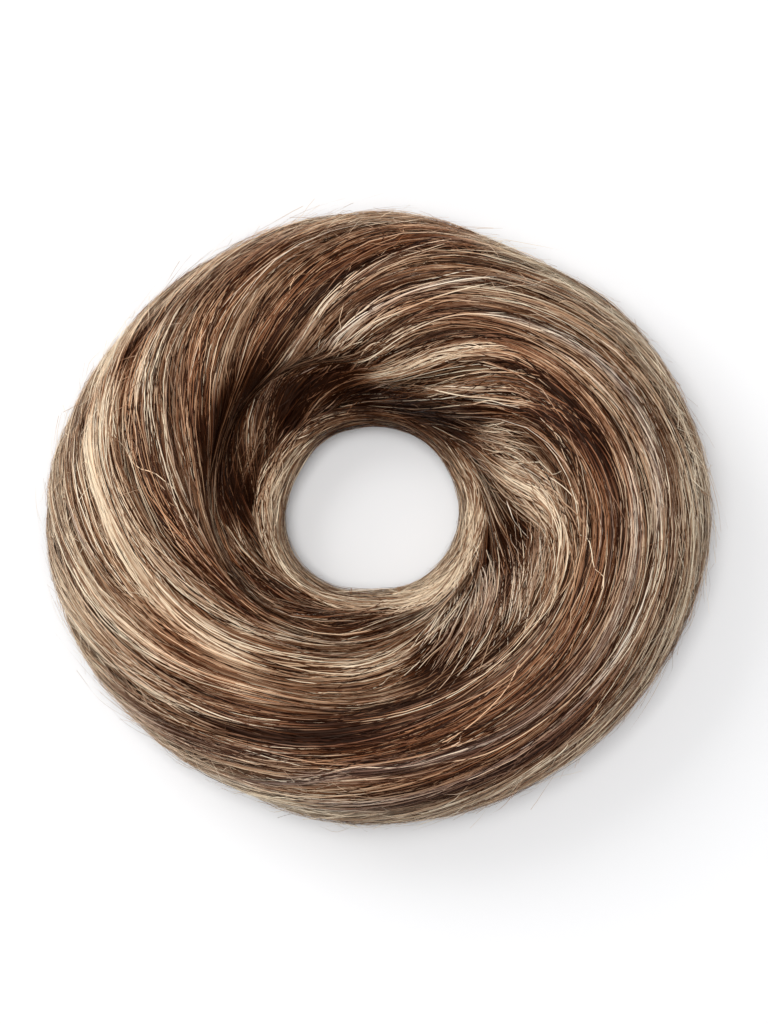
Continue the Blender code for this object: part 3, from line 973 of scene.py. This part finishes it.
def wrapStrands(rng):
    wisps, steps = wrapHair["wisps"], wrapHair["steps"]
    wisp = wispNumbers(wrapHair)
    count = len(wisp)
    t = np.linspace(0, 1, steps)[None, :]
    begin = rng.uniform(0, 360, wisps)[wisp] + rng.normal(0, wrapHair["beginSpread"], count)
    length = rng.uniform(*wrapHair["run"], wisps)[wisp] + rng.normal(0, wrapHair["runSpread"], count)
    turn = begin[:, None] + length[:, None] * t
    middle = rng.uniform(*wrapHair["middles"], wisps)[wisp]
    middle = middle + rng.normal(0, wrapHair["middleSpread"], count)
    slant = rng.normal(wrapHair["slant"], wrapHair["slantSpread"], wisps)[wisp]
    around = middle[:, None] - slant[:, None] * (t - 0.5)
    around = around + smoothNoise(rng, count, steps, 5) * wrapHair["wander"]
    around = np.clip(around, 0.0, 1.0)
    lift = rng.uniform(wrapHair["low"], wrapHair["high"], wisps)[wisp]
    lift = lift + rng.normal(0, wrapHair["heightSpread"], count)
    lift = lift[:, None] + smoothNoise(rng, count, steps, 5) * wrapHair["heightSpread"]
    points = wrapPoint(turn, around, lift)
    ends = fade(t)
    width = strandWidth(rng, wrapHair["width"], 1.2, count, ends)
    twist = smoothNoise(rng, count, steps, 6) * wrapHair["twist"]
    shade = np.clip(np.cos(np.radians(turn - wrapHair["shadeTurn"])), 0, 1)
    tone = wrapHair["tone"] - wrapHair["shade"] * shade ** wrapHair["shadePower"]
    tone = tone + strandTones(rng, count, steps, wisp)
    # Painted shade towards the wrap's foot, down in the hole
    values = hairValues(points, tone, wrapHair["footPaintedShade"] * np.clip(1 - 2.2 * around, 0, 1))
    normal = wrapNormal(turn, around)
    return strandChunk(rng, points, normal, width, twist, wrapHair["runMm"], values)


def makeWrap():
    chunks = [wrapMass(), wrapStrands(np.random.default_rng(wrapHair["seed"]))]
    made = makeMesh("innerWrapHair", chunks, hairMaterials)
    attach(made, "root")
    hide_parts("inner_wrap")


makeWrap()
print("inner wrap laid")


# Wisps that show on top of the locks. Each row has its strands, spread across as a share
# of the way out, tone, ash, highest lift in metres, then its path as (turn, share)
topWisps = (
    (150, 0.050, 0.06, 0.0, 0.0013, (
        (146, 1.00), (165, 0.88), (180, 0.73), (195, 0.62), (212, 0.53),
        (232, 0.43), (252, 0.35), (272, 0.29), (290, 0.22), (304, 0.14),
    )),
    (60, 0.035, 0.14, 0.1, 0.0016, (
        (70, 0.97), (80, 0.85), (92, 0.70), (102, 0.58), (110, 0.48), (121, 0.38), (134, 0.31),
    )),
    (40, 0.030, 0.12, 0.2, 0.0016, (
        (60, 0.86), (75, 0.68), (90, 0.52), (102, 0.40), (112, 0.30),
    )),
    (60, 0.050, 0.02, 0.1, 0.0014, (
        (8, 0.66), (28, 0.60), (48, 0.55), (62, 0.44), (76, 0.30), (90, 0.19),
    )),
    (40, 0.040, 0.10, 0.2, 0.0014, (
        (-4, 0.62), (16, 0.56), (30, 0.46), (40, 0.34), (52, 0.22), (68, 0.14),
    )),
    (110, 0.055, 0.06, 0.0, 0.0012, (
        (26, 0.12), (14, 0.19), (4, 0.29), (-8, 0.38), (-24, 0.42), (-42, 0.42),
    )),
    (70, 0.035, 0.10, 0.25, 0.0015, (
        (236, 1.00), (254, 0.86), (266, 0.76), (286, 0.73), (302, 0.74), (332, 0.72), (364, 0.68),
    )),
    (60, 0.050, 0.06, 0.2, 0.0015, (
        (190, 0.96), (210, 0.82), (230, 0.73), (250, 0.64),
        (270, 0.55), (290, 0.50), (312, 0.49), (336, 0.48),
    )),
    (60, 0.060, -0.02, 0.2, 0.0013, (
        (132, 0.84), (150, 0.60), (166, 0.42), (182, 0.30),
        (204, 0.24), (228, 0.20), (256, 0.17), (282, 0.12),
    )),
    (50, 0.050, 0.04, 0.1, 0.0013, (
        (52, 0.74), (70, 0.58), (88, 0.36), (104, 0.24), (124, 0.17), (150, 0.13),
    )),
    (60, 0.060, 0.04, 0.3, 0.0015, (
        (-110, 0.94), (-80, 0.88), (-50, 0.86), (-20, 0.86), (10, 0.86), (32, 0.78), (52, 0.70),
    )),
)


def smoothPath(path, steps):
    path = np.array(path, float)
    last = len(path) - 1
    place = np.linspace(0, last, steps)
    i = np.minimum(place.astype(int), last - 1)
    near = [path[np.clip(i + step, 0, last)] for step in (-1, 0, 1, 2)]
    return curveValue(*near, (place - i)[:, None])


wispHair = {
    "steps": 24,
    "fineSteps": 120,
    "begin": (-0.1, 0.55),
    "run": (0.35, 0.75),
    "wander": 0.25,
    "drift": 0.9,
    "shares": (0.01, 0.985),
    "toneShare": 0.6,
    "width": 0.00023,
    "low": 0.0001,
    "clear": 0.0002,
    "wave": 0.0002,
    "twist": 0.45,
    "runMm": 90,
}


def wispStrands(rng, row):
    count, spread, tone, ashier, highest, path = row
    steps, fineSteps = wispHair["steps"], wispHair["fineSteps"]
    track = smoothPath(path, fineSteps)
    t = np.linspace(0, 1, steps)[None, :]
    begin = rng.uniform(*wispHair["begin"], count)
    finish = np.clip(begin + rng.uniform(*wispHair["run"], count), 0, 1)
    begin = np.clip(begin, 0, 1)
    place = (begin[:, None] + (finish - begin)[:, None] * t) * (fineSteps - 1)
    turn = np.interp(place, np.arange(fineSteps), track[:, 0])
    share = np.interp(place, np.arange(fineSteps), track[:, 1])
    own = rng.normal(0, spread, count)[:, None]
    share = share + own * (0.6 + 0.4 * np.sin(np.pi * t))
    share = share + smoothNoise(rng, count, steps, 5) * spread * wispHair["wander"]
    share = share + rng.normal(0, spread * wispHair["drift"], count)[:, None] * (t - 0.5)
    share = np.clip(share, *wispHair["shares"])
    ends = fade(t, 0.15)
    lift = rng.uniform(wispHair["low"], highest, count)[:, None] * ends + wispHair["clear"]
    lift = lift + smoothNoise(rng, count, steps, 6) * wispHair["wave"]
    points = topPoint(turn, share, lift)
    width = strandWidth(rng, wispHair["width"], 1.2, count, ends)
    twist = smoothNoise(rng, count, steps, 6) * wispHair["twist"]
    tones = tone * wispHair["toneShare"] + strandTones(rng, count, steps, np.zeros(count, int))
    ash = ashier * rng.uniform(0, 1.4, count)[:, None]
    values = hairValues(points, tones, 0.0, 0.0, ash)
    normal = topNormal(turn, share)
    return strandChunk(rng, points, normal, width, twist, wispHair["runMm"], values)


# Patches of fine, frizzy strands: middle, spreads, how far each strand runs, count and tone
frizzPatches = (
    {
        "turn": 318, "share": 0.25, "turnSpread": 12, "shareSpread": 0.060, "count": 340,
        "runTurn": -22, "runShare": 0.13, "tone": 0.96, "ash": 0.30,
    },
    {
        "turn": 334, "share": 0.30, "turnSpread": 7, "shareSpread": 0.045, "count": 260,
        "runTurn": -24, "runShare": 0.05, "tone": 0.36, "ash": 0.15,
    },
    {
        "turn": 30, "share": 0.20, "turnSpread": 7, "shareSpread": 0.04, "count": 110,
        "runTurn": -14, "runShare": 0.14, "tone": 0.40, "ash": 0.1,
    },
    {
        "turn": 62, "share": 0.13, "turnSpread": 22, "shareSpread": 0.03, "count": 130,
        "runTurn": -22, "runShare": 0.07, "tone": 0.26, "ash": 0.3,
    },
    {
        "turn": 158, "share": 0.17, "turnSpread": 16, "shareSpread": 0.04, "count": 90,
        "runTurn": 26, "runShare": -0.03, "tone": 0.16, "ash": 0.1,
    },
    {
        "turn": 250, "share": 0.12, "turnSpread": 34, "shareSpread": 0.025, "count": 160,
        "runTurn": -34, "runShare": 0.05, "tone": 0.10, "ash": 0.1,
    },
)


frizzHair = {
    "steps": 14,
    "lengths": (0.4, 1.3),
    "angleSpread": 0.30,
    "angleTurn": 18,
    "angleShare": 0.05,
    "bend": 0.5,
    "bendSpread": 0.45,
    "bendShare": 0.10,
    "wander": 0.005,
    "shares": (0.005, 0.98),
    "width": 0.00016,
    "low": 0.0003,
    "high": 0.0024,
    "twist": 0.4,
    "toneSpread": 0.20,
    "runMm": 25,
}


def frizzStrands(rng, patch):
    count, steps = patch["count"], frizzHair["steps"]
    t = np.linspace(0, 1, steps)[None, :]
    turn = patch["turn"] + rng.normal(0, patch["turnSpread"], count)[:, None]
    share = patch["share"] + rng.normal(0, patch["shareSpread"], count)[:, None]
    length = rng.uniform(*frizzHair["lengths"], count)[:, None]
    angle = rng.normal(0, frizzHair["angleSpread"], count)[:, None]
    bend = rng.normal(frizzHair["bend"], frizzHair["bendSpread"], count)[:, None]
    along = (t - 0.5) * length
    turn = turn + patch["runTurn"] * along - angle * along * frizzHair["angleTurn"]
    share = share + patch["runShare"] * along + angle * along * frizzHair["angleShare"]
    share = share + bend * frizzHair["bendShare"] * (along**2 - 0.1)
    share = share + smoothNoise(rng, count, steps, 4) * frizzHair["wander"]
    share = np.clip(share, *frizzHair["shares"])
    ends = fade(t, 0.3)
    lift = frizzHair["low"] + rng.uniform(0, frizzHair["high"], count)[:, None] * ends
    points = topPoint(turn, share, lift)
    width = strandWidth(rng, frizzHair["width"], 1.2, count, ends, 0.3)
    twist = smoothNoise(rng, count, steps, 4) * frizzHair["twist"]
    tones = patch["tone"] + rng.normal(0, frizzHair["toneSpread"], count)[:, None] + 0 * t
    ash = patch["ash"] * rng.uniform(0, 1.3, count)[:, None]
    values = hairValues(points, tones, 0.0, 0.0, ash)
    normal = topNormal(turn, share)
    return strandChunk(rng, points, normal, width, twist, frizzHair["runMm"], values)


# Fine hairs that stand off the outline: a few long loose ones and a short fuzz
flyaways = {
    "seed": 31,
    "busyTurns": (75, 62, 10, 355, 340, 235, 215, 150, 120, 20, 300, 180),
    "busyShare": 0.5,
    "busySpread": 10,
    "backShare": 0.85,
    "swings": (-20, 50),
    "fall": -8,
    "leastRise": 0.15,
    "riseCurve": 1.4,
    "waver": 0.25,
    "widths": (0.7, 1.2),
    "clear": 0.0002,
    "width": 0.00015,
    "twist": 0.6,
    "tone": 0.14,
    "toneSpread": 0.16,
    "ash": 0.10,
    "runMm": 20,
}
flyawaySorts = (
    {"count": 420, "steps": 11, "run": (8, 26), "most": 0.0048, "power": 2.4, "lean": 14},
    {"count": 2300, "steps": 7, "run": (4, 13), "most": 0.0023, "power": 1.3, "lean": 20},
)


def flyawayStrands(rng, sort):
    count, steps = sort["count"], sort["steps"]
    t = np.linspace(0, 1, steps)[None, :]
    busy = rng.choice(np.array(flyaways["busyTurns"]), count)
    busy = busy + rng.normal(0, flyaways["busySpread"], count)
    isBusy = rng.random(count) < flyaways["busyShare"]
    turn = np.where(isBusy, busy, rng.uniform(0, 360, count))
    run = rng.uniform(*sort["run"], count)
    run = run * np.where(rng.random(count) < flyaways["backShare"], -1, 1)
    swing = rng.uniform(*flyaways["swings"], count)
    turn = turn[:, None] + run[:, None] * t
    swing = swing[:, None] + rng.normal(flyaways["fall"], sort["lean"], count)[:, None] * t
    rise = sort["most"] * rng.uniform(flyaways["leastRise"], 1, count) ** sort["power"]
    waver = 1 + flyaways["waver"] * smoothNoise(rng, count, steps, 4)
    lift = rise[:, None] * t ** flyaways["riseCurve"] * waver + flyaways["clear"]
    points = hairPoint(turn, swing, lift)
    width = flyaways["width"] * rng.uniform(*flyaways["widths"], count)[:, None] * (1 - 0.5 * t)
    twist = smoothNoise(rng, count, steps, 4) * flyaways["twist"]
    tones = flyaways["tone"] + rng.normal(0, flyaways["toneSpread"], count)[:, None] + 0 * t
    values = hairValues(points, tones, 0.0, 0.0, flyaways["ash"])
    normal = hairNormal(turn, swing)
    return strandChunk(rng, points, normal, width, twist, flyaways["runMm"], values)


rimHair = {
    "count": 150,
    "steps": 12,
    "run": 26,
    "around": (0.35, 0.75),
    "low": 0.0004,
    "high": 0.0017,
    "width": 0.00016,
    "tone": 0.1,
    "toneSpread": 0.12,
    "runMm": 20,
}


# Stray hairs round the rim of the hole
def rimStrands(rng):
    count, steps, run = rimHair["count"], rimHair["steps"], rimHair["run"]
    t = np.linspace(0, 1, steps)[None, :]
    turn = rng.uniform(0, 360, count)[:, None] + rng.uniform(-run, run, count)[:, None] * t
    around = rng.uniform(*rimHair["around"], count)[:, None] + 0 * t
    lift = rimHair["low"] + rng.uniform(0, rimHair["high"], count)[:, None] * np.sin(np.pi * t * 0.9)
    points = wrapPoint(turn, around, lift)
    width = rimHair["width"] * (1 - 0.5 * t) + np.zeros((count, 1))
    tones = rimHair["tone"] + rng.normal(0, rimHair["toneSpread"], count)[:, None] + 0 * t
    values = hairValues(points, tones, 0.0)
    normal = wrapNormal(turn, around)
    return strandChunk(rng, points, normal, width, 0 * lift, rimHair["runMm"], values)


def makeLooseHair():
    rng = np.random.default_rng(flyaways["seed"])
    wisps = [wispStrands(rng, row) for row in topWisps]
    frizz = [frizzStrands(rng, patch) for patch in frizzPatches]
    stray = [flyawayStrands(rng, sort) for sort in flyawaySorts] + [rimStrands(rng)]
    for name, chunks in (("topWisps", wisps), ("frizzyHair", frizz), ("flyawayHair", stray)):
        made = makeMesh(name, chunks, hairMaterials)
        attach(made, "root")


makeLooseHair()
print("loose hair laid")


rollHair = {
    "seed": 9,
    "rows": 60,
    "columns": 260,
    "firstSwing": 200,
    "lastSwing": -160,
    "underFrom": -50,
    "underBlend": 14,
    "underTo": -172,
    "endBlend": 8,
    "mmPerTurn": 0.9,
    "mmPerSwing": 0.6,
    "drop": 0.0030,
    "underDrop": 0.0010,
    "slant": 0.45,
    "massTone": -0.06,
    "massPaintedShade": 0.35,
    "hollowPaintedShade": 0.3,
    "wisps": 200,
    "each": 12,
    "steps": 14,
    "width": 0.00024,
    "begin": (-62, -30),
    "beginSpread": 5,
    "finish": (-158, -110),
    "finishSpread": 6,
    "turnSpread": 2.0,
    "run": (-62, -34),
    "runSpread": 5,
    "wander": 0.8,
    "lifts": (-0.0007, 0.0001),
    "endDrop": 0.0003,
    "twist": 0.4,
    "depth": 0.15,
    "warmth": 0.1,
    "runMm": 60,
}


# The strands under the roll run on from the locks' tucks to the elastic
def underStrands(rng):
    wisps, steps = rollHair["wisps"], rollHair["steps"]
    wisp = wispNumbers(rollHair)
    count = len(wisp)
    t = np.linspace(0, 1, steps)[None, :]
    begin = rng.uniform(*rollHair["begin"], wisps)[wisp]
    begin = begin + rng.normal(0, rollHair["beginSpread"], count)
    finish = rng.uniform(*rollHair["finish"], wisps)[wisp]
    finish = finish + rng.normal(0, rollHair["finishSpread"], count)
    swing = begin[:, None] + (finish - begin)[:, None] * t
    turn = rng.uniform(0, 360, wisps)[wisp] + rng.normal(0, rollHair["turnSpread"], count)
    run = rng.uniform(*rollHair["run"], wisps)[wisp] + rng.normal(0, rollHair["runSpread"], count)
    turn = turn[:, None] + run[:, None] * t
    turn = turn + smoothNoise(rng, count, steps, 4) * rollHair["wander"]
    ends = fade(t, 0.15)
    lift = rng.uniform(*rollHair["lifts"], count)[:, None] - (1 - ends) * rollHair["endDrop"]
    points = hairPoint(turn, swing, lift)
    width = strandWidth(rng, rollHair["width"], 1.3, count, ends, 0.3)
    twist = smoothNoise(rng, count, steps, 5) * rollHair["twist"]
    tones = strandTones(rng, count, steps, wisp)
    # The strands under the roll get painted shade as well
    values = hairValues(points, tones, rollHair["depth"], rollHair["warmth"])
    normal = hairNormal(turn, swing)
    return strandChunk(rng, points, normal, width, twist, rollHair["runMm"], values)


# The hair under the locks, which shows from beneath and in the hollows
def rollMass():
    rows, columns = rollHair["rows"], rollHair["columns"]
    turns = np.linspace(0, 360, columns, endpoint=False)
    turn, swing = np.meshgrid(turns, np.linspace(rollHair["firstSwing"], rollHair["lastSwing"], rows))
    under = np.clip((rollHair["underFrom"] - swing) / rollHair["underBlend"], 0, 1)
    under = under * np.clip((swing - rollHair["underTo"]) / rollHair["endBlend"], 0, 1)
    drop = rollHair["drop"] * (1 - under) + rollHair["underDrop"] * under
    points = hairPoint(turn, swing, -drop)
    run = turn - rollHair["slant"] * swing
    down = rollHair["firstSwing"] - swing
    lie = np.stack([run * rollHair["mmPerTurn"], down * rollHair["mmPerSwing"], 0 * turn], axis=-1)
    # Painted shade: the roll's mass is darker in the hollows than underneath
    depth = rollHair["massPaintedShade"] + rollHair["hollowPaintedShade"] * (1 - under)
    values = hairValues(points, rollHair["massTone"] + 0 * turn, depth)
    return gridChunk(points, lie, values, 0, closed=True)


def makeRoll():
    chunks = [rollMass(), underStrands(np.random.default_rng(rollHair["seed"]))]
    roll = makeMesh("hairRollMass", chunks, hairMaterials)
    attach(roll, "root")
    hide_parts("hair_roll")


makeRoll()
print("roll laid")


bandLook = {
    "ribs": 240.0,
    "ribBlur": 2.0,
    "dark": (0.020, 0.013, 0.010, 1),
    "light": (0.05, 0.034, 0.026, 1),
    "bumpStrength": 0.6,
    "bumpHeight": 0.0003,
    "roughness": 0.85,
}


# The elastic keeps its solid and gets a knitted, ribbed finish
def finishBand():
    material, tree, shader = newMaterial("elasticKnit")
    place = addNode(tree, "ShaderNodeTexCoord")
    ribs = addNode(tree, "ShaderNodeTexWave", wave_type="RINGS", rings_direction="SPHERICAL")
    ribs.inputs["Scale"].default_value = bandLook["ribs"]
    ribs.inputs["Distortion"].default_value = bandLook["ribBlur"]
    tree.links.new(place.outputs["Object"], ribs.inputs["Vector"])
    colour = mixColours(tree, "MIX", ribs.outputs["Fac"], bandLook["dark"], bandLook["light"])
    tree.links.new(colour, shader.inputs["Base Color"])
    addBump(tree, bandLook, ribs.outputs["Fac"], shader)
    shader.inputs["Roughness"].default_value = bandLook["roughness"]
    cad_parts["elastic_band"].material_slots[0].material = material


finishBand()
print("elastic finished")


studio = {
    "cameraHeight": 0.872,
    "lens": 130.5,
    "sensorWidth": 36,
    "viewX": 0.0014,
    "viewY": 0.0014,
    "floorSize": 6.0,
    "floorDark": (0.845, 0.845, 0.85, 1),
    "floorLight": (0.875, 0.875, 0.88, 1),
    "floorRoughness": 0.9,
    "floorGrain": 3.0,
    "worldColour": (0.97, 0.98, 1.0, 1),
    "worldLight": 0.48,
}
studioLights = (
    {"name": "keyLight", "place": (-0.55, 0.45, 0.75), "size": 0.5, "power": 3.6},
    {"name": "topLight", "place": (-0.10, 0.08, 1.60), "size": 0.55, "power": 15.0},
)


def makeStudio():
    scene = bpy.context.scene
    floorMesh = bpy.data.meshes.new("floor")
    half = studio["floorSize"] / 2
    corners = [(-half, -half, 0), (half, -half, 0), (half, half, 0), (-half, half, 0)]
    floorMesh.from_pydata(corners, [], [(0, 1, 2, 3)])
    floor = bpy.data.objects.new("floor", floorMesh)
    scene.collection.objects.link(floor)
    paper, tree, shader = newMaterial("palePaper")
    grain = addNode(tree, "ShaderNodeTexNoise")
    grain.inputs["Scale"].default_value = studio["floorGrain"]
    shades = (studio["floorDark"], studio["floorLight"])
    colour = mixColours(tree, "MIX", grain.outputs["Fac"], *shades)
    tree.links.new(colour, shader.inputs["Base Color"])
    shader.inputs["Roughness"].default_value = studio["floorRoughness"]
    floorMesh.materials.append(paper)
    world = bpy.data.worlds.new("studio")
    world.use_nodes = True
    sky = world.node_tree.nodes["Background"]
    sky.inputs["Color"].default_value = studio["worldColour"]
    sky.inputs["Strength"].default_value = studio["worldLight"]
    scene.world = world
    for lightRow in studioLights:
        light = bpy.data.lights.new(lightRow["name"], "AREA")
        light.size = lightRow["size"]
        light.energy = lightRow["power"]
        lamp = bpy.data.objects.new(lightRow["name"], light)
        lamp.location = lightRow["place"]
        x, y, z = lightRow["place"]
        lamp.rotation_euler = (math.atan2(math.hypot(x, y), z), 0, math.atan2(y, x) + math.pi / 2)
        scene.collection.objects.link(lamp)
    lens = bpy.data.cameras.new("camera")
    lens.lens = studio["lens"]
    lens.sensor_width = studio["sensorWidth"]
    camera = bpy.data.objects.new("camera", lens)
    camera.location = (studio["viewX"], studio["viewY"], studio["cameraHeight"])
    scene.collection.objects.link(camera)
    scene.camera = camera
    scene.view_settings.view_transform = "Standard"


makeStudio()
print("studio set")
